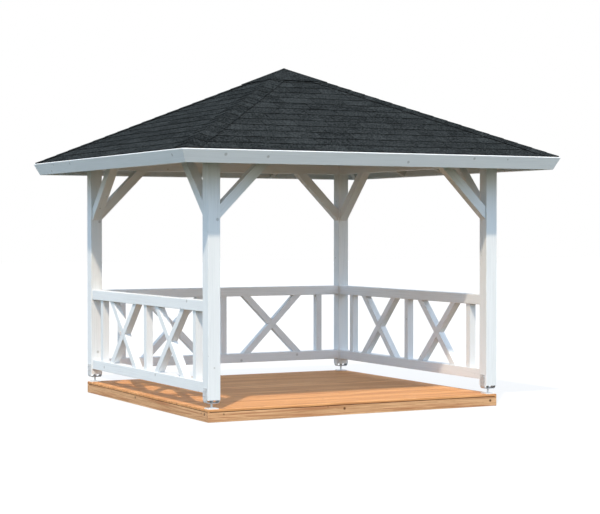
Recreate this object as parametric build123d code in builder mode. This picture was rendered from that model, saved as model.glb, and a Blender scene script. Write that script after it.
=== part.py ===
from build123d import *
from math import asin, atan, cos, radians, sin, sqrt, tan
import os

# Open garden gazebo: a square larch deck, four posts on adjustable steel shoes, knee braces and
# eave beams, a railing on three sides and a low pyramid roof.
# Millimetres, +Z up. The origin is the centre of the deck's underside. The open entrance faces -Y.

# ---- Deck ----
deck_side = 3000
floor_thickness = 27
floor_edge_radius = 5
rim_depth = 85
rim_thickness = 45
joist_thickness = 45
joist_count = 5

# ---- Posts and their steel shoes ----
post_side = 117
post_length = 2086
post_edge_radius = 3
shoe_gap = 80               # from the floor to the foot of the post
strap_width = 70
strap_thickness = 5
strap_lap = 104             # strap up the side of the post
strap_drop = 30             # underside of the strap below the foot of the post
strap_bend_radius = 24
base_plate_side = 100
base_plate_thickness = 8
base_plate_corner = 6
rod_diameter = 20
rod_clearance = 0.3         # round the rod in its nut, and above it under the post
nut_across_flats = 30
nut_height = 16

# ---- Beams and braces ----
beam_thickness = 94
beam_depth = 160
brace_side = 87             # square timbers
brace_reach = 512           # from the post to the long point of the brace, along the beam

# ---- Railing ----
rail_height = 96
rail_thickness = 94
rail_edge_radius = 4
bottom_rail_gap = 136       # from the floor to the bottom rail
infill_height = 613         # between the rails
infill_side = 66
end_upright_inset = 235     # from the post to the middle of the outer upright
lap_clearance = 0.3         # between two crossing bars

# ---- Roof ----
roof_side = 3855            # over the top outer edges of the fascia
roof_pitch = 25.05
birdsmouth_seat = 41
rafter_thickness = 45
rafter_depth = 100
jack_rafter_spacing = 800
king_block_margin = 2       # of the block's face beside each rafter head
king_block_drop = 45        # below the rafters that it carries
board_thickness = 18
shingle_thickness = 6
shingle_overhang = 3
fascia_thickness = 20
fascia_depth = 122          # hangs a little below the rafters
hip_cap_width = 125         # each side of the hip
hip_cap_thickness = 5
hip_cap_lap = 90            # under the apex cap
apex_cap_side = 636
apex_cap_thickness = 4

# ---- Levels and lines that follow from them ----
floor_level = rim_depth + floor_thickness
post_foot = floor_level + shoe_gap
beam_bottom = post_foot + post_length
beam_top = beam_bottom + beam_depth
post_line = (deck_side - post_side) / 2
clear_span = deck_side - 2 * post_side
beam_outer = post_line + beam_thickness / 2
bottom_rail_level = floor_level + bottom_rail_gap
infill_level = bottom_rail_level + rail_height
top_rail_level = infill_level + infill_height
end_upright = clear_span / 2 - end_upright_inset
king_block_face = (rafter_thickness / 2 + king_block_margin) / tan(radians(22.5))

# Roof layers are measured square to the slope, up from the underside of the rafters.
pitch = radians(roof_pitch)
rafter_peak = beam_top + (beam_outer - birdsmouth_seat) * tan(pitch)
board_underside = rafter_depth
board_top = board_underside + board_thickness
shingle_top = board_top + shingle_thickness
hip_cap_top = shingle_top + hip_cap_thickness
apex_cap_top = hip_cap_top + apex_cap_thickness
fascia_outer_run = (roof_side / 2 - board_top * sin(pitch)) / cos(pitch)
fascia_inner_run = fascia_outer_run - fascia_thickness
shingle_end_run = fascia_inner_run + shingle_overhang

# Outward heading of each side and each corner, in degrees from +X.
side_headings = {"front": -90, "right": 0, "back": 90, "left": 180}
corner_headings = {"front_left": -135, "front_right": -45, "back_right": 45, "back_left": 135}
railed_sides = ["left", "back", "right"]


def outward(heading, distance=1.0, level=0.0):
    """Point at a distance from the centre line, in the direction of heading."""
    return Vector(distance * cos(radians(heading)), distance * sin(radians(heading)), level)


def elevation(heading):
    """Upright plane through the post line of one side: x runs along the side, y is up."""
    return Plane(outward(heading, post_line), x_dir=outward(heading + 90), z_dir=outward(heading))


def cross_section(heading, along=0.0):
    """Upright plane across a side, along mm from its middle: x runs outward, y is up."""
    origin = outward(heading + 90, along)
    return Plane(origin, x_dir=outward(heading), z_dir=outward(heading - 90))


def level_at(distance, height):
    """Level of the roof plane that lies height off the rafters' underside."""
    return rafter_peak + height / cos(pitch) - distance * tan(pitch)


def slope_point(run, height):
    """Point of the roof section: run down the slope from the ridge, height off the rafters' underside."""
    return (run * cos(pitch) + height * sin(pitch), rafter_peak - run * sin(pitch) + height * cos(pitch))


def slope_plane(heading, height):
    """Roof plane of one side, facing up and outward."""
    normal = outward(heading, sin(pitch), cos(pitch))
    return Plane(outward(heading, 0, level_at(0, height)), z_dir=normal)


def eave_plane(heading, run):
    """Plane square to one slope at the given run, facing down the slope."""
    distance, level = slope_point(run, 0)
    return Plane(outward(heading, distance, level), z_dir=outward(heading, cos(pitch), -sin(pitch)))


def upright_plane(heading, distance=0.0):
    """Upright plane that faces heading."""
    return Plane(outward(heading, distance), z_dir=outward(heading))


def save(piece, name):
    piece.part.label = name
    export_step(piece.part, f"parts/{name}.step")


# ---- Deck ----
def make_floor():
    with BuildPart() as floor:
        with BuildSketch(Plane.XY.offset(rim_depth)):
            Rectangle(deck_side, deck_side)
        extrude(amount=floor_thickness)
        fillet(floor.faces().sort_by(Axis.Z)[-1].edges(), floor_edge_radius)
    save(floor, "deck_floor")


def make_deck_frame():
    """Front and back rims run full length; side rims and joists fit between them."""
    between = deck_side - 2 * rim_thickness
    for side, heading in side_headings.items():
        length = deck_side if side in ("front", "back") else between
        with BuildPart() as rim:
            with BuildSketch(Plane.XY):
                with Locations(outward(heading, (deck_side - rim_thickness) / 2)):
                    Rectangle(length, rim_thickness, rotation=heading + 90)
            extrude(amount=rim_depth)
        save(rim, f"{side}_deck_rim")
    with BuildPart() as joists:
        with BuildSketch(Plane.XY):
            with GridLocations(deck_side / (joist_count + 1), 0, joist_count, 1):
                Rectangle(joist_thickness, between)
        extrude(amount=rim_depth)
    save(joists, "deck_joists")


# ---- Posts and shoes ----
def post_centre(heading, level):
    return outward(heading, post_line * sqrt(2), level)


def make_posts():
    for corner, heading in corner_headings.items():
        with BuildPart() as post:
            with BuildSketch(Plane(post_centre(heading, post_foot))):
                Rectangle(post_side, post_side)
            extrude(amount=post_length)
            fillet(post.edges().filter_by(Axis.Z), post_edge_radius)
        save(post, f"{corner}_post")


def make_post_bracket(heading):
    """Steel strap bent up the left and right of the post, with the nut welded on its base."""
    height = strap_drop + strap_lap
    inner_radius = strap_bend_radius - strap_thickness
    section = Plane(post_centre(heading, post_foot - strap_drop), (1, 0, 0), (0, -1, 0))
    nut_top = post_foot - strap_drop + strap_thickness + nut_height
    with BuildPart() as bracket:
        with BuildSketch(section) as strap:
            Rectangle(post_side + 2 * strap_thickness, height, align=(Align.CENTER, Align.MIN))
            fillet(strap.vertices().group_by(Axis.Y)[0], strap_bend_radius)
        extrude(amount=strap_width / 2, both=True)
        with BuildSketch(section) as hollow:
            with Locations((0, strap_thickness)):
                Rectangle(post_side, height, align=(Align.CENTER, Align.MIN))
            fillet(hollow.vertices().group_by(Axis.Y)[0], inner_radius)
        extrude(amount=strap_width / 2, both=True, mode=Mode.SUBTRACT)
        with BuildSketch(Plane(post_centre(heading, nut_top))):
            RegularPolygon(nut_across_flats / 2, 6, major_radius=False)
        extrude(amount=-nut_height)
        with BuildSketch(Plane(post_centre(heading, nut_top))):
            Circle(rod_diameter / 2 + rod_clearance)
        extrude(amount=-nut_height - strap_thickness, mode=Mode.SUBTRACT)
    return bracket.part


def make_post_foot(heading):
    """Base plate on the floor, with the upright rod welded on it."""
    rod_length = shoe_gap - base_plate_thickness - rod_clearance
    with BuildPart() as foot:
        with BuildSketch(Plane(post_centre(heading, floor_level))):
            RectangleRounded(base_plate_side, base_plate_side, base_plate_corner)
        extrude(amount=base_plate_thickness)
        with BuildSketch(Plane(post_centre(heading, floor_level + base_plate_thickness))):
            Circle(rod_diameter / 2)
        extrude(amount=rod_length)
    return foot.part


def gather(name, pieces):
    """Write several like pieces that don't touch as one sub-part."""
    with BuildPart() as group:
        for piece in pieces:
            add(piece)
    save(group, name)


# ---- Beams and braces ----
def make_beams():
    """Beams meet in half laps over the posts: front and back lie on top, the sides below."""
    length = 2 * beam_outer
    for side, heading in side_headings.items():
        lap_level = beam_bottom if side in ("front", "back") else beam_bottom + beam_depth / 2
        with BuildPart() as beam:
            with BuildSketch(elevation(heading)):
                with Locations((0, beam_bottom)):
                    Rectangle(length, beam_depth, align=(Align.CENTER, Align.MIN))
                with Locations((-post_line, lap_level), (post_line, lap_level)):
                    Rectangle(
                        beam_thickness,
                        beam_depth / 2,
                        align=(Align.CENTER, Align.MIN),
                        mode=Mode.SUBTRACT,
                    )
            extrude(amount=beam_thickness / 2, both=True)
        save(beam, f"{side}_eave_beam")


def make_braces():
    """Two knee braces a side, at 45 degrees from the post's inner face to the beam's underside."""
    plumb_depth = brace_side * sqrt(2)
    foot = beam_bottom - brace_reach
    face = clear_span / 2
    for side, heading in side_headings.items():
        with BuildPart() as braces:
            with BuildSketch(elevation(heading)):
                Polygon(
                    (face, foot),
                    (face, foot + plumb_depth),
                    (face - brace_reach + plumb_depth, beam_bottom),
                    (face - brace_reach, beam_bottom),
                    align=None,
                )
                mirror(about=Plane.YZ)
            extrude(amount=brace_side / 2, both=True)
        save(braces, f"{side}_braces")


# ---- Railing ----
def make_rails(side, heading):
    """Bottom and top rail between the posts; the back one is let in over the shoes' straps."""
    with BuildPart() as rails:
        with BuildSketch(cross_section(heading)):
            for level in (bottom_rail_level, top_rail_level):
                with Locations((post_line, level + rail_height / 2)):
                    RectangleRounded(rail_thickness, rail_height, rail_edge_radius)
        extrude(amount=clear_span / 2, both=True)
        if side == "back":
            strap_line = (clear_span - strap_thickness) / 2
            with BuildSketch(Plane.XY.offset(post_foot + strap_lap)):
                with Locations((-strap_line, post_line), (strap_line, post_line)):
                    Rectangle(strap_thickness, strap_width)
            extrude(amount=-strap_lap, mode=Mode.SUBTRACT)
    save(rails, f"{side}_railing_rails")


def make_uprights(side, heading):
    base = Plane(outward(heading, post_line, infill_level), x_dir=outward(heading + 90))
    with BuildPart() as uprights:
        with BuildSketch(base):
            with Locations((-end_upright, 0), (0, 0), (end_upright, 0)):
                Rectangle(infill_side, infill_side)
        extrude(amount=infill_height)
    save(uprights, f"{side}_railing_uprights")


def draw_cross_bars(rise, width):
    """Two parallel bars at 45 degrees between the rails, one in each bay; rise is 1 or -1."""
    half_cut = width / sqrt(2)
    reach = rise * infill_height / 2
    top_level = infill_level + infill_height
    for bay in (-end_upright / 2, end_upright / 2):
        Polygon(
            (bay - reach - half_cut, infill_level),
            (bay - reach + half_cut, infill_level),
            (bay + reach + half_cut, top_level),
            (bay + reach - half_cut, top_level),
            align=None,
        )


def make_cross_bars(side, heading):
    """Square bars that cross in half laps: the rising pair is whole outside, the other inside."""
    lap_width = infill_side + 2 * lap_clearance
    pairs = []
    for rise in (1, -1):
        with BuildPart() as pair:
            with BuildSketch(elevation(heading)):
                draw_cross_bars(rise, infill_side)
            extrude(amount=infill_side / 2, both=True)
            with BuildSketch(elevation(heading).offset(rise * lap_clearance / 2)):
                draw_cross_bars(-rise, lap_width)
            extrude(amount=-rise * infill_side, mode=Mode.SUBTRACT)
        pairs.append(pair.part)
    gather(f"{side}_railing_cross_bars", pairs)


# ---- Roof frame ----
def draw_rafter(start):
    """Rafter with a plumb cut at its head, a birdsmouth over the beam and a tail cut square."""
    Polygon(
        (start, level_at(start, 0)),
        (beam_outer - birdsmouth_seat, beam_top),
        (beam_outer, beam_top),
        (beam_outer, level_at(beam_outer, 0)),
        slope_point(fascia_inner_run, 0),
        slope_point(fascia_inner_run, rafter_depth),
        (start, level_at(start, rafter_depth)),
        align=None,
    )


def make_rafter(heading, along):
    """Rafter square to the eave; one beside the middle is cut against the hip rafter's cheek."""
    with BuildPart() as rafter:
        with BuildSketch(cross_section(heading, along)):
            draw_rafter(king_block_face)
        extrude(amount=rafter_thickness / 2, both=True)
        if along:
            cheek = heading - 45 if along > 0 else heading + 45
            split(bisect_by=upright_plane(cheek, rafter_thickness / 2), keep=Keep.TOP)
    return rafter.part


def make_rafters():
    spacings = (-jack_rafter_spacing, 0, jack_rafter_spacing)
    gather("rafters", [make_rafter(h, s) for h in side_headings.values() for s in spacings])


def make_hip_rafter(corner):
    """Hip rafter backed to both slopes, notched over the beams' corner, mitred to the fascia."""
    start = king_block_face
    end = roof_side / sqrt(2)
    hip_tan = tan(pitch) / sqrt(2)
    underside = rafter_peak - rafter_thickness / 2 * hip_tan
    plumb_depth = 2 * rafter_depth / cos(pitch)
    with BuildPart() as hip:
        with BuildSketch(cross_section(corner)):
            Polygon(
                (start, underside - start * hip_tan),
                (end, underside - end * hip_tan),
                (end, underside - end * hip_tan + plumb_depth),
                (start, underside - start * hip_tan + plumb_depth),
                align=None,
            )
        extrude(amount=rafter_thickness / 2, both=True)
        with BuildSketch(Plane.XY.offset(beam_top)):
            Rectangle(2 * beam_outer, 2 * beam_outer)
        extrude(amount=-beam_depth, mode=Mode.SUBTRACT)
        for heading in (corner - 45, corner + 45):
            split(bisect_by=slope_plane(heading, rafter_depth), keep=Keep.BOTTOM)
            split(bisect_by=eave_plane(heading, fascia_inner_run), keep=Keep.BOTTOM)
    return hip.part


def make_king_block():
    """Eight-sided block that the rafters' heads butt against."""
    top = level_at(king_block_face, rafter_depth)
    bottom = level_at(king_block_face, 0) - king_block_drop
    with BuildPart() as block:
        with BuildSketch(Plane.XY.offset(bottom)):
            RegularPolygon(king_block_face, 8, major_radius=False, rotation=22.5)
        extrude(amount=top - bottom)
    save(block, "king_block")


# ---- Roof covering ----
def mitred_side(heading, outline):
    """A roof layer of one side: its section run along the eave and mitred at both hips."""
    with BuildPart() as layer:
        with BuildSketch(cross_section(heading)):
            Polygon(*outline, align=None)
        extrude(amount=roof_side / 2, both=True)
        for hip_normal in (heading - 45, heading + 45):
            split(bisect_by=upright_plane(hip_normal), keep=Keep.TOP)
    return layer


def slab_outline(underside, top, end_run):
    """Section of a slab from the middle of the roof down to end_run."""
    return [
        (0, level_at(0, underside)),
        slope_point(end_run, underside),
        slope_point(end_run, top),
        (0, level_at(0, top)),
    ]


def make_slopes():
    fascia_foot = board_top - fascia_depth
    fascia = [
        slope_point(fascia_inner_run, fascia_foot),
        slope_point(fascia_outer_run, fascia_foot),
        slope_point(fascia_outer_run, board_top),
        slope_point(fascia_inner_run, board_top),
    ]
    boards = slab_outline(board_underside, board_top, fascia_inner_run)
    shingles = slab_outline(board_top, shingle_top, shingle_end_run)
    for side, heading in side_headings.items():
        save(mitred_side(heading, boards), f"{side}_roof_boards")
        save(mitred_side(heading, shingles), f"{side}_shingles")
        save(mitred_side(heading, fascia), f"{side}_fascia")


def make_hip_cap(corner):
    """Strip folded over the hip, from the eave to under the apex cap."""
    fold = asin(sin(pitch) / sqrt(2))
    hip_pitch = atan(tan(pitch) / sqrt(2))
    start = apex_cap_side / 2 - hip_cap_lap
    ridge = outward(corner, start * sqrt(2), level_at(start, shingle_top))
    down_hip = outward(corner, cos(hip_pitch), -sin(hip_pitch))
    edge = Vector(hip_cap_width * cos(fold), -hip_cap_width * sin(fold))
    rise = Vector(hip_cap_thickness * sin(fold), hip_cap_thickness * cos(fold))
    with BuildPart() as cap:
        with BuildSketch(Plane(ridge, x_dir=outward(corner + 90), z_dir=down_hip)):
            Polygon((0, 0), edge, edge + rise, (0, hip_cap_thickness / cos(fold)), align=None)
            mirror(about=Plane.YZ)
        extrude(amount=roof_side)
        for heading in (corner - 45, corner + 45):
            split(bisect_by=eave_plane(heading, shingle_end_run), keep=Keep.BOTTOM)
    return cap.part


def make_apex_cap():
    """Square pyramid cap that sits on the heads of the four hip caps."""
    edge = apex_cap_side / 2
    outline = [
        (0, level_at(0, hip_cap_top)),
        (edge, level_at(edge, hip_cap_top)),
        (edge, level_at(edge, apex_cap_top)),
        (0, level_at(0, apex_cap_top)),
    ]
    gather("apex_cap", [mitred_side(heading, outline).part for heading in side_headings.values()])


os.makedirs("parts", exist_ok=True)
corners = corner_headings.values()
make_floor()
make_deck_frame()
make_posts()
gather("post_brackets", [make_post_bracket(corner) for corner in corners])
gather("post_feet", [make_post_foot(corner) for corner in corners])
make_beams()
make_braces()
for railed_side in railed_sides:
    railed_heading = side_headings[railed_side]
    make_rails(railed_side, railed_heading)
    make_uprights(railed_side, railed_heading)
    make_cross_bars(railed_side, railed_heading)
make_rafters()
gather("hip_rafters", [make_hip_rafter(corner) for corner in corners])
make_king_block()
make_slopes()
gather("hip_caps", [make_hip_cap(corner) for corner in corners])
make_apex_cap()
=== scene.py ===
"""Looks of the garden gazebo, in metres: painted timber, larch, bitumen shingles and steel."""

import math
import random

import bmesh
import bpy
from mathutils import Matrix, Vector


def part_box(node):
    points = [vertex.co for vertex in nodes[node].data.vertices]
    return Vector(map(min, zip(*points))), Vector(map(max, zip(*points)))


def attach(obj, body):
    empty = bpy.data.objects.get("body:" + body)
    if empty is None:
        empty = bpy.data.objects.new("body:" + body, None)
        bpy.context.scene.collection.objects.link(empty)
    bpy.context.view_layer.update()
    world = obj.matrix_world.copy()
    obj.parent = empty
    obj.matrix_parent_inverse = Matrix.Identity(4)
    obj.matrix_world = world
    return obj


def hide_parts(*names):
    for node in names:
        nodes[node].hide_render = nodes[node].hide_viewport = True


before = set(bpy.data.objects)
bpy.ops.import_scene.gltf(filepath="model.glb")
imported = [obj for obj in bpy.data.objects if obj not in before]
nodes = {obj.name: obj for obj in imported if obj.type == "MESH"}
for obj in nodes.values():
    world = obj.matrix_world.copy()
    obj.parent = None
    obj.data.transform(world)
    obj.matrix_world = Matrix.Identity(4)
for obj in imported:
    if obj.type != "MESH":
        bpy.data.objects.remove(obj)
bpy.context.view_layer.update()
scene = bpy.context.scene

# ---- Sizes that the looks share with the construction ----
PITCH = math.radians(25.05)
HEADINGS = {"front": -90.0, "right": 0.0, "back": 90.0, "left": 180.0}
CORNERS = (-135.0, -45.0, 45.0, 135.0)
RAILED = ("left", "back", "right")
UP = Vector((0, 0, 1))
WORLD = (Vector((1, 0, 0)), Vector((0, 1, 0)), UP)
EASED = 0.003                        # width of the rounding on the edges of thick timbers
EASED_THIN = 0.0015                  # and on those of boards

# ---- Colours, as linear light ----
PAINT = (0.82, 0.835, 0.85)
PAINT_STREAK = (0.71, 0.725, 0.74)
PAINT_KNOT = (0.40, 0.39, 0.38)
PAINT_RAFTER_SHADE = (0.60, 0.59, 0.56)      # painted shade: darker paint on the rafters under the roof
LARCH = (0.89, 0.480, 0.214)
LARCH_DARK = (0.52, 0.226, 0.084)
LARCH_KNOT = (0.10, 0.04, 0.016)
LARCH_HEART = (0.41, 0.165, 0.075)
RIM_LARCH = (0.775, 0.465, 0.252)
RIM_LARCH_DARK = (0.41, 0.192, 0.086)
FELT = (0.008, 0.0095, 0.010)
FELT_LIGHT = (0.048, 0.054, 0.056)
FELT_EDGE = (0.0035, 0.0035, 0.0035)
ZINC = (0.61, 0.63, 0.655)
ZINC_DULL = (0.43, 0.445, 0.46)
ZINC_NEW = (0.84, 0.85, 0.85)
ZINC_NEW_DULL = (0.66, 0.67, 0.67)

# ---- Knots that show on the sides in view, in metres ----
PAINT_KNOTS = (
    (-1.52, -1.91, 2.305), (-1.12, -1.90, 2.295), (0.28, -1.89, 2.275), (0.97, -1.91, 2.32),
    (-1.91, -1.67, 2.30), (-1.91, 0.86, 2.32), (-1.89, 1.47, 2.26),
    (-1.41, -1.50, 1.76), (-1.41, 1.38, 1.75),
    (-1.43, 1.38, 0.42), (-1.49, -1.01, 1.035), (-1.49, 1.05, 0.29), (-1.49, -0.28, 0.32),
    (0.20, 1.395, 0.27), (0.87, 1.395, 0.31),
)
RIM_KNOTS = (
    (-1.50, 0.19, 0.066), (-1.50, -1.42, 0.065), (-0.15, -1.50, 0.057), (1.43, -1.50, 0.052),
)


def outward(heading, distance=1.0, level=0.0):
    """Point at a distance from the centre line, in the direction of heading, from +X."""
    angle = math.radians(heading)
    return Vector((distance * math.cos(angle), distance * math.sin(angle), level))


# ---- Node materials ----
class Shader:
    """One node material. Each method adds a node and returns its output socket."""

    def __init__(self, name):
        self.material = bpy.data.materials.new(name)
        self.material.use_nodes = True
        self.tree = self.material.node_tree
        self.tree.nodes.clear()
        self.surface = self.add("ShaderNodeBsdfPrincipled", {})
        output = self.add("ShaderNodeOutputMaterial", {})
        self.tree.links.new(self.surface.outputs[0], output.inputs["Surface"])

    def add(self, kind, inputs, **settings):
        node = self.tree.nodes.new(kind)
        for key, value in settings.items():
            setattr(node, key, value)
        for key, value in inputs.items():
            self.feed(node.inputs[key], value)
        return node

    def feed(self, socket, value):
        if isinstance(value, bpy.types.NodeSocket):
            self.tree.links.new(value, socket)
        elif socket.type == "RGBA" and len(value) == 3:
            socket.default_value = (*value, 1)
        else:
            socket.default_value = value

    def math(self, operation, a, b=0.0, clamp=False):
        node = self.add("ShaderNodeMath", {0: a, 1: b}, operation=operation, use_clamp=clamp)
        return node.outputs[0]

    def mix(self, share, a, b):
        node = self.add("ShaderNodeMix", {0: share, 6: a, 7: b}, data_type="RGBA")
        return node.outputs[2]

    def spread(self, value, low, high, start=0.0, end=1.0):
        """Smooth step of value from low to high, mapped to start and end."""
        inputs = {"Value": value, 1: low, 2: high, 3: start, 4: end}
        node = self.add("ShaderNodeMapRange", inputs, interpolation_type="SMOOTHSTEP")
        return node.outputs[0]

    def place(self, axis):
        """Position in metres with the grain along the first coordinate."""
        if axis == "own":
            return self.add("ShaderNodeAttribute", {}, attribute_name="grain").outputs["Vector"]
        position = self.add("ShaderNodeTexCoord", {}).outputs["Object"]
        if axis == "x":
            return position
        split = self.add("ShaderNodeSeparateXYZ", {0: position})
        order = {"y": (1, 0, 2), "z": (2, 0, 1)}[axis]
        joined = self.add("ShaderNodeCombineXYZ", {i: split.outputs[order[i]] for i in range(3)})
        return joined.outputs[0]

    def stretch(self, vector, sizes):
        """Scale a position so that one unit is the given size in metres on each axis."""
        inputs = {0: vector, 1: tuple(1 / size for size in sizes)}
        return self.add("ShaderNodeVectorMath", inputs, operation="MULTIPLY").outputs[0]

    def noise(self, vector, sizes, detail=2.0, rough=0.5, distortion=0.0):
        """Soft noise from 0 to 1 whose blotches are about the given sizes."""
        inputs = {
            "Vector": self.stretch(vector, sizes),
            "Scale": 1.0,
            "Detail": detail,
            "Roughness": rough,
            "Distortion": distortion,
        }
        return self.add("ShaderNodeTexNoise", inputs).outputs["Fac"]

    def tone(self):
        return self.add("ShaderNodeAttribute", {}, attribute_name="tone").outputs["Fac"]

    def knots(self, vector, spacing, radius):
        """1 in the heart of a knot and 0 outside; few knots meet a face of a narrow timber."""
        inputs = {"Vector": self.stretch(vector, (spacing,) * 3), "Scale": 1.0}
        near = self.add("ShaderNodeTexVoronoi", inputs).outputs["Distance"]
        return self.spread(near, 0.45 * radius / spacing, 1.25 * radius / spacing, 1.0, 0.0)

    def knots_at(self, spots, radius):
        """1 in the knots whose hearts lie at the given spots, in metres."""
        position = self.add("ShaderNodeTexCoord", {}).outputs["Object"]
        found = 0.0
        for spot in spots:
            away = self.add("ShaderNodeVectorMath", {0: position, 1: spot}, operation="DISTANCE")
            mark = self.spread(away.outputs["Value"], 0.5 * radius, 1.2 * radius, 1.0, 0.0)
            found = self.math("MAXIMUM", mark, found)
        return found

    def bump(self, height, distance):
        inputs = {"Height": height, "Distance": distance, "Strength": 1.0}
        return self.add("ShaderNodeBump", inputs).outputs[0]

    def finish(self, colour, roughness, normal, metallic=0.0, specular=0.5):
        self.feed(self.surface.inputs["Base Color"], colour)
        self.feed(self.surface.inputs["Roughness"], roughness)
        self.feed(self.surface.inputs["Normal"], normal)
        self.surface.inputs["Metallic"].default_value = metallic
        self.surface.inputs["Specular IOR Level"].default_value = specular
        return self.material


def painted_timber(name, axis, spots=(), light=PAINT):
    """Opaque pale paint through which the grain and a few knots just show."""
    s = Shader(name)
    place = s.place(axis)
    bend = s.noise(place, (0.5, 0.09, 0.09), detail=1.0)
    fibre = s.noise(place, (0.42, 0.0065, 0.0065), detail=3.0, rough=0.6, distortion=0.6)
    brush = s.noise(place, (0.12, 0.0016, 0.0016), detail=2.0)
    cloud = s.noise(place, (0.9, 0.14, 0.14), detail=2.0)
    knot = s.knots(place, 0.15, 0.0095)
    if spots:
        knot = s.math("MAXIMUM", knot, s.knots_at(spots, 0.016))
    streak = s.math("MULTIPLY", s.spread(fibre, 0.42, 0.74), s.spread(bend, 0.35, 0.7, 0.45, 1.0))
    dark = tuple(level * shade / pale for level, shade, pale in zip(light, PAINT_STREAK, PAINT))
    colour = s.mix(streak, light, dark)
    colour = s.mix(s.spread(cloud, 0.3, 0.72, 0.0, 0.28), colour, dark)
    colour = s.mix(s.math("MULTIPLY", knot, 0.62), colour, PAINT_KNOT)
    relief = s.math("ADD", s.math("MULTIPLY", fibre, 0.8), s.math("MULTIPLY", brush, 0.35))
    relief = s.math("SUBTRACT", relief, s.math("MULTIPLY", knot, 0.7))
    roughness = s.spread(brush, 0.2, 0.8, 0.46, 0.60)
    return s.finish(colour, roughness, s.bump(relief, 0.0007), specular=0.1)


def larch(name, axis, light, dark, tones=False, spots=()):
    """Oiled larch: bands of dark growth rings with fine lines in them, and brown knots."""
    s = Shader(name)
    place = s.place(axis)
    rings = s.noise(place, (0.85, 0.017, 0.017), detail=3.0, rough=0.55, distortion=1.1)
    fine = s.noise(place, (0.22, 0.0028, 0.0028), detail=3.0, rough=0.6)
    cloud = s.noise(place, (0.6, 0.09, 0.09), detail=2.0)
    band = s.noise(place, (1.1, 0.030, 0.030), detail=3.0, rough=0.6, distortion=0.7)
    knot = s.knots(place, 0.19, 0.011)
    if spots:
        knot = s.math("MAXIMUM", knot, s.knots_at(spots, 0.014))
    lines = s.math("FRACT", s.math("MULTIPLY", rings, 9.0))
    contour = s.math("ABSOLUTE", s.math("SUBTRACT", lines, 0.5))
    colour = s.mix(s.spread(rings, 0.40, 0.66), light, dark)
    colour = s.mix(s.spread(fine, 0.40, 0.75, 0.0, 0.38), colour, dark)
    colour = s.mix(s.spread(cloud, 0.25, 0.75, 0.45, 0.0), colour, light)
    colour = s.mix(s.spread(contour, 0.0, 0.16, 0.55, 0.0), colour, dark)
    colour = s.mix(s.spread(band, 0.50, 0.62, 0.0, 0.72), colour, LARCH_HEART)
    if tones:
        colour = s.mix(s.math("MULTIPLY", s.tone(), 0.55), colour, dark)
        # painted shade: tones raised past 1, at the back of the deck's shadow gap, turn near black
        colour = s.mix(s.spread(s.tone(), 1.0, 1.8, 0.0, 0.9), colour, LARCH_KNOT)
    colour = s.mix(s.math("MULTIPLY", knot, 0.9), colour, LARCH_KNOT)
    relief = s.math("ADD", s.math("MULTIPLY", rings, 0.8), s.math("MULTIPLY", fine, 0.5))
    roughness = s.spread(fine, 0.2, 0.8, 0.52, 0.68)
    return s.finish(colour, roughness, s.bump(relief, 0.0009), specular=0.08)


def granules(name, lift):
    """Dark mineral granules on bitumen felt, in clumps, with a slight tone for each tab."""
    s = Shader(name)
    place = s.place("own")
    grit = s.noise(place, (0.0035, 0.0035, 0.0035), detail=2.0, rough=0.7)
    clump = s.noise(place, (0.015, 0.013, 0.013), detail=2.0, rough=0.75)
    patch = s.noise(place, (0.30, 0.07, 0.07), detail=3.0, rough=0.6)
    fine = s.spread(grit, 0.35, 0.7, -0.15, 0.25)
    share = s.math("ADD", fine, s.spread(clump, 0.36, 0.64, -0.12, 0.88))
    share = s.math("ADD", share, s.spread(patch, 0.3, 0.7, -0.14, 0.20))
    # the tone gives each tab its own tone at random, and painted shade along the next course's edge
    share = s.math("ADD", share, s.math("MULTIPLY", s.math("SUBTRACT", s.tone(), 0.5), 0.24))
    share = s.math("ADD", share, lift, clamp=True)
    colour = s.mix(share, FELT, FELT_LIGHT)
    facing = s.add("ShaderNodeNewGeometry", {}).outputs["True Normal"]
    upward = s.add("ShaderNodeSeparateXYZ", {0: facing}).outputs[2]
    colour = s.mix(s.spread(upward, 0.3, 0.6, 1.0, 0.0), colour, FELT_EDGE)
    relief = s.math("ADD", grit, s.math("MULTIPLY", clump, 0.7))
    roughness = s.spread(grit, 0.3, 0.7, 0.85, 0.97)
    return s.finish(colour, roughness, s.bump(relief, 0.0012), specular=0.0)


def galvanised(name, bright, dull):
    """Hot-dip zinc with its spangle."""
    s = Shader(name)
    place = s.place("x")
    inputs = {"Vector": s.stretch(place, (0.007,) * 3), "Scale": 1.0}
    cell = s.add("ShaderNodeTexVoronoi", inputs).outputs["Color"]
    shade = s.add("ShaderNodeSeparateColor", {0: cell}).outputs[0]
    cloud = s.noise(place, (0.03,) * 3, detail=2.0)
    colour = s.mix(s.spread(shade, 0.0, 1.0, 0.0, 0.35), bright, dull)
    colour = s.mix(s.spread(cloud, 0.35, 0.7, 0.0, 0.35), colour, dull)
    roughness = s.spread(shade, 0.0, 1.0, 0.40, 0.55)
    return s.finish(colour, roughness, s.bump(cloud, 0.0003), metallic=0.35)


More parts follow.
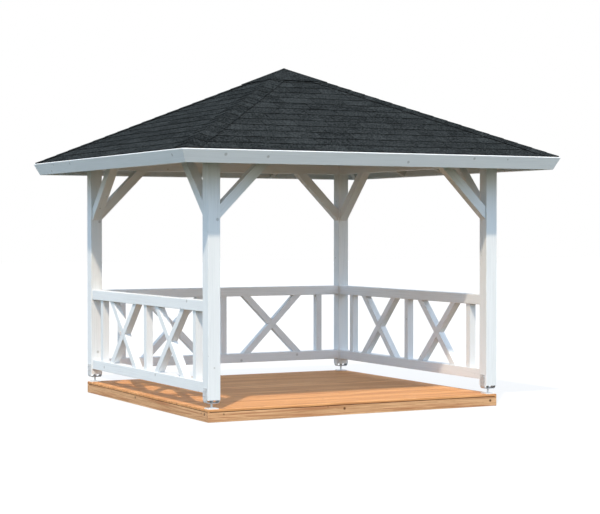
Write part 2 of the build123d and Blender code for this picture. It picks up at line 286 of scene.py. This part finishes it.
# ---- Meshes ----
class Pile:
    """Many small meshes joined into one piece, each with its own grain frame and tone."""

    def __init__(self):
        self.points = []
        self.faces = []
        self.grain = []
        self.tones = []

    def add(self, points, faces, axes, origin, tone=0.5, shift=(0, 0, 0)):
        """axes are three unit vectors, the first along the grain. tone is one value or a list."""
        base = len(self.points)
        self.points += [tuple(p) for p in points]
        self.faces += [tuple(base + i for i in face) for face in faces]
        for p in points:
            away = Vector(p) - origin
            self.grain += [axes[i].dot(away) + shift[i] for i in range(3)]
        self.tones += tone if isinstance(tone, list) else [tone] * len(points)

    def add_bmesh(self, bm, axes, origin, tone=0.5, shift=(0, 0, 0)):
        bm.verts.index_update()
        points = [v.co.copy() for v in bm.verts]
        faces = [[v.index for v in face.verts] for face in bm.faces]
        self.add(points, faces, axes, origin, tone, shift)

    def piece(self, name, material, slot, *replaced):
        mesh = bpy.data.meshes.new(name)
        mesh.from_pydata(self.points, [], self.faces)
        mesh.attributes.new("grain", "FLOAT_VECTOR", "POINT").data.foreach_set("vector", self.grain)
        mesh.attributes.new("tone", "FLOAT", "POINT").data.foreach_set("value", self.tones)
        bm = bmesh.new()
        bm.from_mesh(mesh)
        bmesh.ops.recalc_face_normals(bm, faces=bm.faces[:])
        bm.to_mesh(mesh)
        bm.free()
        mesh.materials.append(material)
        piece = bpy.data.objects.new(name, mesh)
        scene.collection.objects.link(piece)
        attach(piece, "root")
        if replaced:
            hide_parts(*replaced)


def random_shift(rng):
    return (rng.uniform(-40, 40), rng.uniform(-5, 5), rng.uniform(-5, 5))


def loft(stations, sides, start, along):
    """Closed bar through (distance, outline) stations, outlines lying in the plane of two sides."""
    rings = []
    for distance, outline in stations:
        rings.append([start + along * distance + sides[0] * a + sides[1] * b for a, b in outline])
    count = len(rings[0])
    faces = []
    for k in range(len(rings) - 1):
        for i in range(count):
            j = (i + 1) % count
            faces.append((k * count + i, k * count + j, (k + 1) * count + j, (k + 1) * count + i))
    faces.append(tuple(reversed(range(count))))
    last = (len(rings) - 1) * count
    faces.append(tuple(range(last, last + count)))
    return [p for ring in rings for p in ring], faces


def prism(outline, sides, start, length, along, ease=0.0):
    """Closed bar of one outline, whose end edges are chamfered where ease is given."""
    if not ease:
        return loft([(0.0, outline), (length, outline)], sides, start, along)
    middle = Vector((sum(p[0] for p in outline), sum(p[1] for p in outline))) / len(outline)
    small = [
        (a - math.copysign(ease, a - middle.x), b - math.copysign(ease, b - middle.y))
        for a, b in outline
    ]
    stations = [(0.0, small), (ease, outline), (length - ease, outline), (length, small)]
    return loft(stations, sides, start, along)


def solid(points, faces, tones=()):
    """Mesh of the points and faces, with a tone for each point."""
    bm = bmesh.new()
    layer = bm.verts.layers.float.new("tone")
    verts = [bm.verts.new(p) for p in points]
    for vert, tone in zip(verts, tones):
        vert[layer] = tone
    for face in faces:
        bm.faces.new([verts[i] for i in face])
    return bm


def sheet_faces(rows, wide):
    """Faces of a closed sheet: rows of points on top, and as many again for its underside."""
    count = rows * wide
    faces = []
    for i in range(rows - 1):
        for c in range(wide - 1):
            a = i * wide + c
            top = (a, a + 1, a + 1 + wide, a + wide)
            faces += [top, tuple(count + k for k in reversed(top))]
    rim = list(range(wide))
    rim += [i * wide + wide - 1 for i in range(1, rows)]
    rim += [(rows - 1) * wide + c for c in range(wide - 2, -1, -1)]
    rim += [i * wide for i in range(rows - 2, 0, -1)]
    for k, a in enumerate(rim):
        b = rim[(k + 1) % len(rim)]
        faces.append((b, a, count + a, count + b))
    return faces


def islands(bm):
    """The separate solids of a mesh, as lists of vertices."""
    left = set(bm.verts)
    found = []
    while left:
        seed = left.pop()
        group, front = [seed], [seed]
        while front:
            vertex = front.pop()
            for link in vertex.link_edges:
                other = link.other_vert(vertex)
                if other in left:
                    left.remove(other)
                    group.append(other)
                    front.append(other)
        found.append(group)
    return found


def eased_timbers(name, node, material, rng):
    """The solids of one CAD node again, with eased edges and the grain along each timber."""
    whole = bmesh.new()
    whole.from_mesh(nodes[node].data)
    bmesh.ops.remove_doubles(whole, verts=whole.verts, dist=1e-5)
    bmesh.ops.dissolve_limit(
        whole, angle_limit=0.02, verts=whole.verts, edges=whole.edges, delimit=set()
    )
    whole.verts.index_update()
    whole.faces.index_update()
    pile = Pile()
    for group in sorted(islands(whole), key=lambda group: min(tuple(v.co) for v in group)):
        bm = bmesh.new()
        copies = {v: bm.verts.new(v.co) for v in sorted(group, key=lambda v: v.index)}
        faces = {f for v in group for f in v.link_faces}
        for face in sorted(faces, key=lambda f: f.index):
            bm.faces.new([copies[v] for v in face.verts])
        bm.normal_update()
        longest = max(bm.edges, key=lambda e: e.calc_length())
        along = (longest.verts[0].co - longest.verts[1].co).normalized()
        flat = along.cross(UP) if abs(along.z) < 0.9 else along.cross(WORLD[1])
        flat.normalize()
        origin = sum((v.co for v in bm.verts), Vector()) / len(bm.verts)
        sharp = [e for e in bm.edges if len(e.link_faces) == 2 and e.calc_face_angle(0) > 0.5]
        bmesh.ops.bevel(
            bm,
            geom=sharp,
            offset=EASED,
            segments=2,
            profile=0.5,
            affect="EDGES",
            clamp_overlap=True,
        )
        axes = (along, flat, along.cross(flat))
        pile.add_bmesh(bm, axes, origin, rng.random(), random_shift(rng))
        bm.free()
    whole.free()
    pile.piece(name, material, "painted_timber", node)


# ---- Deck ----
BOARDS = 27
BOARD_GAP = 0.0022
ARRIS = 0.002                        # chamfer along the boards' lower edges
REBATE = 0.007                       # height of the shadow gap under the deck's outer edges
REBATE_DEPTH = 0.012
SHADOW_GAP_SHADE = 2.0                          # painted shade: added to the tone at the back of that gap, to darken it


def board_outline(width, depth, eased, rebate=0.0):
    """Outline of a board lying flat, x across and y up from its underside.

    eased holds the radii of the left and right top edges, and rebate lifts the right lower edge.
    """
    half = width / 2
    cut = REBATE_DEPTH if rebate else 0.0
    outline = [(-half + ARRIS, 0), (half - ARRIS - cut, 0), (half - cut, ARRIS)]
    outline += [(half - cut, max(rebate, ARRIS)), (half, REBATE)]
    for radius, sign in ((eased[1], 1), (eased[0], -1)):
        for k in range(4) if sign > 0 else range(3, -1, -1):
            angle = math.radians(30 * k)
            across = sign * (half - radius + radius * math.cos(angle))
            outline.append((across, depth - radius + radius * math.sin(angle)))
    outline += [(-half, REBATE), (-half, ARRIS)]
    return outline


def deck_board(start, width, depth, length, outer):
    """One board from left to right, with its ends rebated and rounded over."""
    eased = (0.0022, 0.005 if outer else 0.0022)
    rounding, clean = 0.003, 0.004
    full = board_outline(width, depth, eased, REBATE if outer else 0.0)
    lifted = [(a, max(b, REBATE)) for a, b in full]
    small = [(a * 0.985, REBATE + (b - REBATE) * 0.86) for a, b in lifted]
    stations = [(0.0, small), (rounding, lifted), (REBATE_DEPTH, lifted)]
    stations += [(REBATE_DEPTH, full), (REBATE_DEPTH + clean, full)]
    stations += [(length - distance, outline) for distance, outline in reversed(stations)]
    facing = -1 if outer and start.y < 0 else 1
    return loft(stations, (WORLD[1] * facing, UP), start, WORLD[0])


def in_shadow_gap(point, low, high):
    """Whether a point of the deck boards is at the back of the gap."""
    inset = min(point.x - low.x, high.x - point.x, point.y - low.y, high.y - point.y)
    deep = REBATE_DEPTH / 2 < inset < REBATE_DEPTH + ARRIS / 2
    return deep and point.z < low.z + REBATE + 0.0005


def make_deck_boards(material):
    """Boards from front to back, over a shadow gap that small blocks stop at the corners."""
    low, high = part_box("deck_floor")
    rng = random.Random(11)
    pitch = (high.y - low.y) / BOARDS
    pile = Pile()
    for k in range(BOARDS):
        lower = low.y + k * pitch + (BOARD_GAP / 2 if k else 0)
        upper = low.y + (k + 1) * pitch - (BOARD_GAP / 2 if k < BOARDS - 1 else 0)
        start = Vector((low.x, (lower + upper) / 2, low.z))
        size = (upper - lower, high.z - low.z, high.x - low.x)
        points, faces = deck_board(start, *size, k in (0, BOARDS - 1))
        own = rng.random()
        bm = solid(points, faces)
        bmesh.ops.remove_doubles(bm, verts=bm.verts[:], dist=2e-4)
        # the tone is raised at the back of the shadow gap, which paints shade there
        tones = [own + SHADOW_GAP_SHADE * in_shadow_gap(v.co, low, high) for v in bm.verts]
        pile.add_bmesh(bm, WORLD, start, tones, random_shift(rng))
        bm.free()
    overlap = 0.002
    stop = REBATE_DEPTH + overlap
    square = ((0, 0), (stop, 0), (stop, stop), (0, stop))
    for sx in (-1, 1):
        for sy in (-1, 1):
            corner = Vector((sx * high.x, sy * high.y, low.z))
            inward = (-sx * WORLD[0], -sy * WORLD[1])
            points, faces = prism(square, inward, corner, REBATE + overlap, UP)
            pile.add(points, faces, WORLD, corner)
    pile.piece("deck_boards", material, "larch", "deck_floor")


# ---- Roof ----
shingle_low, shingle_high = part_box("front_shingles")
ROOF_TOP = shingle_high.z            # apex of the plane through the tops of the shingles
EAVE_RUN = -shingle_low.y / math.cos(PITCH)
SHINGLE = 0.003
EXPOSURE = 0.145
TAB = 1 / 3
SLOT = 0.002                         # half the gap between two tabs
BUTT = 0.0001                        # half the gap between two strips, where they are covered
RAGGED = 0.0012                      # most that a tab's lower edge strays
BOARD_OVER = -0.006                  # top of the roof boards, off that plane
BOARD_UNDER = -0.024
COURSE_EDGE_SHADE = 1.8                           # painted shade: how far a shingle's tone falls along the edge that covers it


def roof_point(heading, along, run, height):
    """Point on a slope: along the eave, run down the slope, height off the shingles' top plane."""
    out = run * math.cos(PITCH) + height * math.sin(PITCH)
    level = ROOF_TOP - run * math.sin(PITCH) + height * math.cos(PITCH)
    return outward(heading, out) + outward(heading + 90, along) + UP * level


def roof_axes(heading):
    down = outward(heading, math.cos(PITCH), -math.sin(PITCH))
    return outward(heading + 90), down, outward(heading, math.sin(PITCH), math.cos(PITCH))


def trim(bm, point, normal):
    """Cut away what lies beyond a plane, with closed ends."""
    cut = bmesh.ops.bisect_plane(
        bm,
        geom=bm.verts[:] + bm.edges[:] + bm.faces[:],
        dist=1e-6,
        plane_co=point,
        plane_no=normal,
        clear_outer=True,
    )
    edges = [e for e in cut["geom_cut"] if isinstance(e, bmesh.types.BMEdge)]
    bmesh.ops.holes_fill(bm, edges=[e for e in edges if e.is_boundary], sides=0)


def trim_to_hips(bm, heading):
    for hip in (heading - 45, heading + 45):
        trim(bm, Vector(), -outward(hip))


def trim_to_eaves(bm, corner):
    for heading in (corner - 45, corner + 45):
        down = outward(heading, math.cos(PITCH), -math.sin(PITCH))
        trim(bm, roof_point(heading, 0, EAVE_RUN, 0), down)


def tab_mesh(heading, left, right, lower, rng):
    """One tab with the part of its strip that the next course covers, which thins to nothing.

    The third result is each point's tone, which falls along and under the next course's edge, as
    painted shade.
    """
    columns = 5
    covered = EXPOSURE - 0.001
    # the third value of each row marks painted shade along and under the next course's edge
    rows = ((0.0, SLOT, 0), (0.05, SLOT, 0), (covered - 0.010, SLOT, 0), (covered, SLOT, 1))
    rows += ((EXPOSURE + 0.002, BUTT, 1), (2 * EXPOSURE + 0.004, BUTT, 1))
    ragged = [rng.uniform(-RAGGED, RAGGED) for _ in range(columns + 1)]
    curl = rng.uniform(0.0, RAGGED)
    own = rng.random()
    upper, under, tones = [], [], []
    for back, inset, under_course_edge in rows:
        height = max(-SHINGLE * back / EXPOSURE, BOARD_OVER + 0.0004)
        underside = max(height - 0.96 * SHINGLE, BOARD_OVER + 0.0001)
        for c in range(columns + 1):
            share = c / columns
            along = left + inset + (right - left - 2 * inset) * share
            run = lower - back + (ragged[c] if back == 0 else 0)
            lift = 0 if back else curl * (2 * share - 1) ** 2
            upper.append(roof_point(heading, along, run, height + lift))
            under.append(roof_point(heading, along, run, underside))
            tones.append(own - COURSE_EDGE_SHADE * under_course_edge)
    return upper + under, sheet_faces(len(rows), columns + 1), tones + tones


def starter_strip(heading, wide=0.2):
    """Plain strip under the first course, so that the eave shows two thicknesses of felt."""
    half = EAVE_RUN * math.cos(PITCH)
    back = EAVE_RUN - wide
    outline = ((back, BOARD_OVER), (EAVE_RUN, BOARD_OVER), (EAVE_RUN, -SHINGLE), (back, -SHINGLE))
    along, down, off = roof_axes(heading)
    return prism(outline, (down, off), roof_point(heading, -half, 0, 0), 2 * half, along)


def make_shingles(side, material):
    heading = HEADINGS[side]
    rng = random.Random(20 + int(heading))
    pile = Pile()
    axes = roof_axes(heading)
    bm = solid(*starter_strip(heading))
    trim_to_hips(bm, heading)
    pile.add_bmesh(bm, axes, Vector(), 0.3)
    bm.free()
    for course in range(int(EAVE_RUN / EXPOSURE)):
        lower = EAVE_RUN - course * EXPOSURE
        half = lower * math.cos(PITCH)
        offset = (course % 3) * TAB / 3 + rng.uniform(-0.012, 0.012)
        first = int((-half - offset) / TAB) - 1
        for k in range(first, -first + 2):
            left = k * TAB + offset
            right = left + TAB
            if left > half or right < -half:
                continue
            points, faces, tones = tab_mesh(heading, left, right, lower, rng)
            upper = lower - 2.1 * EXPOSURE
            if max(abs(left), abs(right)) < upper * math.cos(PITCH):     # clear of both hips
                pile.add(points, faces, axes, Vector(), tones, random_shift(rng))
                continue
            bm = solid(points, faces, tones)
            trim_to_hips(bm, heading)
            if bm.verts:
                tones = [v[bm.verts.layers.float["tone"]] for v in bm.verts]
                pile.add_bmesh(bm, axes, Vector(), tones, random_shift(rng))
            bm.free()
    pile.piece(f"{side}_shingle_courses", material, "shingle", f"{side}_shingles")


def make_roof_boards(side, material):
    """Tongued boards with a V joint that shows from below."""
    heading = HEADINGS[side]
    rng = random.Random(50 + int(heading))
    low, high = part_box(f"{side}_roof_boards")
    reach = max(abs(low.x), abs(low.y), abs(high.x), abs(high.y))
    end = (reach - BOARD_OVER * math.sin(PITCH)) / math.cos(PITCH)
    cover, chamfer, joint, spare = 0.121, 0.0035, 0.0003, 0.05
    pile = Pile()
    along, down, off = roof_axes(heading)
    for k in range(math.ceil(end / cover)):
        lower = end - k * cover
        upper = max(lower - cover, 0.0)
        if lower - upper < 3 * chamfer:
            continue
        outline = [
            (upper + joint, BOARD_OVER),
            (upper + joint, BOARD_UNDER + chamfer),
            (upper + chamfer, BOARD_UNDER),
            (lower - chamfer, BOARD_UNDER),
            (lower - joint, BOARD_UNDER + chamfer),
            (lower - joint, BOARD_OVER),
        ]
        half = lower * math.cos(PITCH) + spare
        start = roof_point(heading, -half, 0, 0)
        bm = solid(*prism(outline, (down, off), start, 2 * half, along))
        trim_to_hips(bm, heading)
        pile.add_bmesh(bm, (along, down, off), start, rng.random(), random_shift(rng))
        bm.free()
    pile.piece(f"{side}_roof_lining", material, "painted_timber", f"{side}_roof_boards")


HIP_FOLD = math.asin(math.sin(PITCH) / math.sqrt(2))
HIP_PITCH = math.atan(math.tan(PITCH) / math.sqrt(2))
HIP_WIDTH = 0.125
HIP_RISE = 0.0047
HIP_EXPOSURE = 0.143
HIP_FELT = 0.0032


def hip_tab(corner, lower, rng):
    """One tab folded over the hip, with its lower edge at the given distance down the hip."""
    down = outward(corner, math.cos(HIP_PITCH), -math.sin(HIP_PITCH))
    side = outward(corner + 90)
    normal = side.cross(-down)
    ridge = UP * ROOF_TOP
    columns = (-1.0, -0.8, -0.6, -0.4, -0.2, -0.09, 0.0, 0.09, 0.2, 0.4, 0.6, 0.8, 1.0)
    rows = (0.0, 0.05, 0.1, HIP_EXPOSURE, HIP_EXPOSURE + 0.05)
    round_over = 0.006
    skew = rng.uniform(-0.0025, 0.0025)
    slip = rng.uniform(-0.003, 0.003)
    points = []
    for back in rows:
        taper = 1.0 if back <= HIP_EXPOSURE else 0.9
        lift = (HIP_RISE - HIP_FELT * back / HIP_EXPOSURE) / math.cos(HIP_FOLD)
        for c in columns:
            across = c * HIP_WIDTH * taper
            fall = (math.hypot(across, round_over) - round_over) * math.sin(HIP_FOLD)
            aside = across * math.cos(HIP_FOLD) + skew
            run = lower - back + slip * c
            points.append(ridge + down * run + side * aside + normal * (lift - fall))
    points += [p - normal * HIP_FELT for p in points]
    return points, (side, down, normal), sheet_faces(len(rows), len(columns))


def make_hip_caps(material):
    """Overlapping folded tabs up each hip, from the eave to under the apex cap."""
    rng = random.Random(7)
    pile = Pile()
    cap_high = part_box("apex_cap")[1]
    tucked, spare = 0.08, 0.02
    start = (cap_high.x - tucked) * math.sqrt(2) / math.cos(HIP_PITCH)
    end = EAVE_RUN * math.cos(PITCH) * math.sqrt(2) / math.cos(HIP_PITCH) + spare
    for corner in CORNERS:
        for k in range(math.ceil((end - start) / HIP_EXPOSURE)):
            points, axes, faces = hip_tab(corner, end - k * HIP_EXPOSURE, rng)
            bm = solid(points, faces)
            if k < 2:
                trim_to_eaves(bm, corner)
            if bm.verts:
                pile.add_bmesh(bm, axes, Vector(), rng.random(), random_shift(rng))
            bm.free()
    pile.piece("hip_cap_tabs", material, "shingle", "hip_caps")


def make_apex_cap(material):
    """Square pyramid of felt with softly folded hips, lifted clear of the courses below."""
    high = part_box("apex_cap")[1]
    thick, radius, steps = 0.004, 0.014, 8
    rings = []
    for step in range(steps, 0, -1):
        size = high.x * step / steps
        corner = min(radius, 0.45 * size)
        ring = []
        for heading in (0, 90, 180, 270):
            side, across = outward(heading), outward(heading + 90)
            for share in (-1, -0.6, -0.2, 0.2, 0.6):
                ring.append(side * size + across * (size - corner) * share)
            centre = (side + across) * (size - corner)
            for k in range(4):
                angle = math.radians(22.5 * k)
                fold = side * corner * math.cos(angle) + across * corner * math.sin(angle)
                ring.append(centre + fold)
        rings.append([p + UP * (high.z - math.tan(PITCH) * size) for p in ring])
    wide = len(rings[0])
    points = [p for ring in rings for p in ring] + [Vector((0, 0, high.z))]
    count = len(points)
    tip = count - 1
    points += [p - UP * thick for p in points]
    faces = []
    for i in range(steps - 1):
        for c in range(wide):
            d = (c + 1) % wide
            top = (i * wide + c, i * wide + d, (i + 1) * wide + d, (i + 1) * wide + c)
            faces += [top, tuple(count + j for j in reversed(top))]
    last = (steps - 1) * wide
    for c in range(wide):
        d = (c + 1) % wide
        faces.append((last + c, last + d, tip))
        faces.append((count + tip, count + last + d, count + last + c))
        faces.append((d, c, count + c, count + d))
    pile = Pile()
    pile.add(points, faces, WORLD, Vector(), 0.75)
    pile.piece("apex_cap_felt", material, "shingle", "apex_cap")


# ---- Steel shoes ----
BASE_HALF = 0.05
BASE_THICKNESS = 0.008
BASE_SCREW = 0.034                   # from the plate's middle to its screws, both ways
STRAP_SCREW = 0.02                   # from the strap's middle to its screws
STRAP_LEVELS = (0.066, 0.111)        # of those screws, above the strap's bottom
ROD_RADIUS = 0.0098
THREAD_PITCH = 0.0025
THREAD_DEPTH = 0.0012

# A round screw head with its recess, as (radius, level) rings
BUTTON = ((0.0062, 0), (0.0062, 0.0012), (0.0048, 0.0026), (0.0022, 0.0031), (0.002, 0.0016))


def polygon(radius, corners, turn=0.0):
    angles = [turn + 2 * math.pi * k / corners for k in range(corners)]
    return [(radius * math.cos(angle), radius * math.sin(angle)) for angle in angles]


def lathe(rings, centre, segments=24):
    """Solid of revolution about +Z from (radius, level) rings, closed at both ends."""
    stations = [(level, polygon(radius, segments)) for radius, level in rings]
    return loft(stations, WORLD[:2], centre, UP)


def plate_outline(half, radius):
    """Square with rounded corners."""
    outline = []
    for sx, sy, turn in ((1, 1, 0), (-1, 1, 90), (-1, -1, 180), (1, -1, 270)):
        for k in range(4):
            angle = math.radians(turn + 30 * k)
            across = sx * (half - radius) + radius * math.cos(angle)
            outline.append((across, sy * (half - radius) + radius * math.sin(angle)))
    return outline


def rod_rings(low, high):
    """Rings of a threaded rod from its weld on the plate, at the level low, to its top."""
    rings = [(ROD_RADIUS + 0.0037, low - 0.0002), (ROD_RADIUS + 0.0027, low + 0.002)]
    rings.append((ROD_RADIUS, low + 0.0045))
    level = low + 0.006
    while level < high - 0.003:
        rings += [(ROD_RADIUS - THREAD_DEPTH, level), (ROD_RADIUS, level + THREAD_PITCH / 2)]
        level += THREAD_PITCH
    return rings + [(ROD_RADIUS - 0.0015, high)]


def make_threaded_feet(material):
    """Base plates with their screws, and rods with a real thread."""
    low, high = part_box("post_feet")
    line = high.x - BASE_HALF
    plate = plate_outline(BASE_HALF, 0.006)
    rod = rod_rings(BASE_THICKNESS, high.z - low.z - 0.0005)
    pile = Pile()
    for sx in (-1, 1):
        for sy in (-1, 1):
            centre = Vector((sx * line, sy * line, low.z))
            base = prism(plate, WORLD[:2], centre, BASE_THICKNESS, UP, 0.0006)
            solids = [base, lathe(rod, centre)]
            for dx in (-BASE_SCREW, BASE_SCREW):
                for dy in (-BASE_SCREW, BASE_SCREW):
                    seat = centre + Vector((dx, dy, BASE_THICKNESS - 0.0002))
                    solids.append(lathe(BUTTON, seat, 12))
            for points, faces in solids:
                pile.add(points, faces, WORLD, Vector())
    pile.piece("threaded_feet", material, "galvanised_steel", "post_feet")


def hexagon_screw(start, axis, sides, turn):
    """Washer and hexagon head on the plane of sides, facing along axis."""
    washer = prism(polygon(0.0085, 18), sides, start, 0.0012, axis, 0.0003)
    head = prism(polygon(0.0058, 6, turn), sides, start, 0.0052, axis, 0.0005)
    return washer, head


def make_strap_screws(material):
    """Four hexagon-headed screws through each strap that isn't let into a rail."""
    low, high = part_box("post_brackets")
    post_low, post_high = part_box("front_right_post")
    line = (post_low.x + post_high.x) / 2
    reach = high.x - line
    sides = WORLD[1:]
    pile = Pile()
    for sx in (-1, 1):
        for sy in (-1, 1):
            for face in (-1, 1):
                if sy > 0 and face == -sx:
                    continue
                axis = WORLD[0] * face
                for dy in (-STRAP_SCREW, STRAP_SCREW):
                    for up in STRAP_LEVELS:
                        start = Vector((sx * line + face * reach, sy * line + dy, low.z + up))
                        for points, faces in hexagon_screw(start, axis, sides, 40 * (dy + up)):
                            pile.add(points, faces, (axis, *sides), Vector())
    pile.piece("strap_screws", material, "galvanised_steel")


# ---- Stage, light and camera ----
def seen_directly(tree):
    """Socket that is 1 for camera, glossy and transmission rays, and 0 for bounced light."""
    path = tree.nodes.new("ShaderNodeLightPath")
    found = path.outputs["Is Camera Ray"]
    for name in ("Is Glossy Ray", "Is Transmission Ray"):
        larger = tree.nodes.new("ShaderNodeMath")
        larger.operation = "MAXIMUM"
        tree.links.new(found, larger.inputs[0])
        tree.links.new(path.outputs[name], larger.inputs[1])
        found = larger.outputs[0]
    return found


def make_floor():
    """Plain pale floor: near white to the camera, shadow kept, and darker to bounced light."""
    mesh = bpy.data.meshes.new("studio_floor")
    reach, level, shadow_share = 60, -0.0005, 0.2
    corners = ((-reach, -reach), (reach, -reach), (reach, reach), (-reach, reach))
    mesh.from_pydata([(x, y, level) for x, y in corners], [], [(0, 1, 2, 3)])
    floor = bpy.data.objects.new("studio_floor", mesh)
    scene.collection.objects.link(floor)
    material = bpy.data.materials.new("studio_floor")
    material.use_nodes = True
    tree = material.node_tree
    tree.nodes.clear()
    shown = tree.nodes.new("ShaderNodeMixShader")
    white = tree.nodes.new("ShaderNodeEmission")
    white.inputs["Color"].default_value = (1, 1, 1, 1)
    pale = tree.nodes.new("ShaderNodeBsdfDiffuse")
    pale.inputs["Color"].default_value = (0.84, 0.84, 0.84, 1)
    shown.inputs[0].default_value = shadow_share
    tree.links.new(white.outputs[0], shown.inputs[1])
    tree.links.new(pale.outputs[0], shown.inputs[2])
    bounced = tree.nodes.new("ShaderNodeBsdfDiffuse")
    bounced.inputs["Color"].default_value = (0.060, 0.066, 0.040, 1)
    choice = tree.nodes.new("ShaderNodeMixShader")
    tree.links.new(seen_directly(tree), choice.inputs[0])
    tree.links.new(bounced.outputs[0], choice.inputs[1])
    tree.links.new(shown.outputs[0], choice.inputs[2])
    output = tree.nodes.new("ShaderNodeOutputMaterial")
    tree.links.new(choice.outputs[0], output.inputs["Surface"])
    mesh.materials.append(material)


def sky_ramp(tree, height, horizon, middle):
    """Sky colour against the sine of the elevation: pale at the horizon, middle above it."""
    ramp = tree.nodes.new("ShaderNodeValToRGB")
    top = (0.27, 0.31, 0.35)
    elements = ramp.color_ramp.elements
    elements[0].color = (*horizon, 1)
    elements[1].color = (*top, 1)
    for position, colour in ((0.12, horizon), (0.28, middle), (0.68, middle), (0.85, top)):
        elements.new(position).color = (*colour, 1)
    tree.links.new(height, ramp.inputs[0])
    return ramp.outputs[0]


def make_world():
    """Soft sky fill, brighter from the right, behind a plain white backdrop."""
    world = bpy.data.worlds.new("studio")
    scene.world = world
    world.use_nodes = True
    tree = world.node_tree
    tree.nodes.clear()
    place = tree.nodes.new("ShaderNodeTexCoord")
    split = tree.nodes.new("ShaderNodeSeparateXYZ")
    tree.links.new(place.outputs["Generated"], split.inputs[0])
    sky = tree.nodes.new("ShaderNodeMix")
    sky.data_type = "RGBA"
    tree.links.new(split.outputs[0], sky.inputs[0])
    left = sky_ramp(tree, split.outputs[2], (0.485, 0.507, 0.472), (0.37, 0.52, 0.71))
    right = sky_ramp(tree, split.outputs[2], (0.51, 0.517, 0.475), (0.75, 0.82, 0.95))
    tree.links.new(left, sky.inputs[6])
    tree.links.new(right, sky.inputs[7])
    fill = tree.nodes.new("ShaderNodeBackground")
    fill.inputs["Strength"].default_value = 2.4
    tree.links.new(sky.outputs[2], fill.inputs["Color"])
    white = tree.nodes.new("ShaderNodeBackground")
    white.inputs["Color"].default_value = (1, 1, 1, 1)
    white.inputs["Strength"].default_value = 1.0
    choice = tree.nodes.new("ShaderNodeMixShader")
    tree.links.new(seen_directly(tree), choice.inputs[0])
    tree.links.new(fill.outputs[0], choice.inputs[1])
    tree.links.new(white.outputs[0], choice.inputs[2])
    output = tree.nodes.new("ShaderNodeOutputWorld")
    tree.links.new(choice.outputs[0], output.inputs["Surface"])


def make_sun():
    """Key light from high on the front left."""
    lamp = bpy.data.lights.new("key", "SUN")
    lamp.energy = 2.95
    lamp.color = (1.0, 0.86, 0.67)
    lamp.angle = math.radians(2.0)
    key = bpy.data.objects.new("key", lamp)
    key.rotation_euler = Vector((0.48, 0.61, -1)).to_track_quat("-Z", "Y").to_euler()
    scene.collection.objects.link(key)


def make_camera():
    """Camera at eye height, in front of the gazebo and to its left."""
    data = bpy.data.cameras.new("camera")
    data.sensor_width = 36
    data.lens = 98.42
    camera = bpy.data.objects.new("camera", data)
    camera.location = (-7.3495, -14.4251, 1.6822)
    camera.rotation_euler = (math.radians(89.003), 0, math.radians(-27.559))
    scene.collection.objects.link(camera)
    scene.camera = camera


# ---- The gazebo ----
def coat(node, material, ease=0.0):
    """Give a CAD node its finish, with its sharp edges eased."""
    mesh = nodes[node].data
    mesh.materials.clear()
    mesh.materials.append(material)
    if ease:
        weld = nodes[node].modifiers.new("weld", "WELD")
        weld.merge_threshold = 1e-5
        bevel = nodes[node].modifiers.new("ease", "BEVEL")
        bevel.width = ease
        bevel.segments = 2
        bevel.limit_method = "ANGLE"
        bevel.angle_limit = math.radians(40)


paint = {axis: painted_timber(f"painted_timber_{axis}", axis, PAINT_KNOTS) for axis in "xyz"}
paint["own"] = painted_timber("painted_timber_own", "own")
# the rafters take a darker paint, as painted shade under the roof
shaded = painted_timber("painted_rafters", "own", light=PAINT_RAFTER_SHADE)
deck = larch("larch_deck", "own", LARCH, LARCH_DARK, tones=True)
rims = {
    axis: larch(f"larch_rim_{axis}", axis, RIM_LARCH, RIM_LARCH_DARK, spots=RIM_KNOTS)
    for axis in "xy"
}
felt = granules("mineral_felt", 0.0)
# hip_felt is painted darker than the slopes' felt, as painted shade along the hips
hip_felt = granules("hip_felt", -0.08)
cap_felt = granules("cap_felt", -0.2)
zinc = galvanised("galvanised_straps", ZINC, ZINC_DULL)
new_zinc = galvanised("galvanised_feet", ZINC_NEW, ZINC_NEW_DULL)

rng = random.Random(3)
for side in HEADINGS:
    axis = "x" if side in ("front", "back") else "y"
    coat(f"{side}_eave_beam", paint[axis], EASED)
    coat(f"{side}_fascia", paint[axis], EASED_THIN)
    coat(f"{side}_deck_rim", rims[axis], EASED_THIN)
    eased_timbers(f"{side}_knee_braces", f"{side}_braces", paint["own"], rng)
    make_roof_boards(side, paint["own"])
    make_shingles(side, felt)
for side in RAILED:
    axis = "x" if side == "back" else "y"
    coat(f"{side}_railing_rails", paint[axis])
    coat(f"{side}_railing_uprights", paint["z"], EASED)
    eased_timbers(f"{side}_crossed_bars", f"{side}_railing_cross_bars", paint["own"], rng)
for corner in ("front_left", "front_right", "back_right", "back_left"):
    coat(f"{corner}_post", paint["z"])
coat("king_block", paint["z"], EASED)
coat("deck_joists", rims["y"], 0.002)
coat("post_brackets", zinc)
eased_timbers("common_rafters", "rafters", shaded, rng)
eased_timbers("backed_hip_rafters", "hip_rafters", shaded, rng)
make_deck_boards(deck)
make_hip_caps(hip_felt)
make_apex_cap(cap_felt)
make_threaded_feet(new_zinc)
make_strap_screws(zinc)

make_floor()
make_world()
make_sun()
make_camera()
scene.view_settings.view_transform = "Standard"
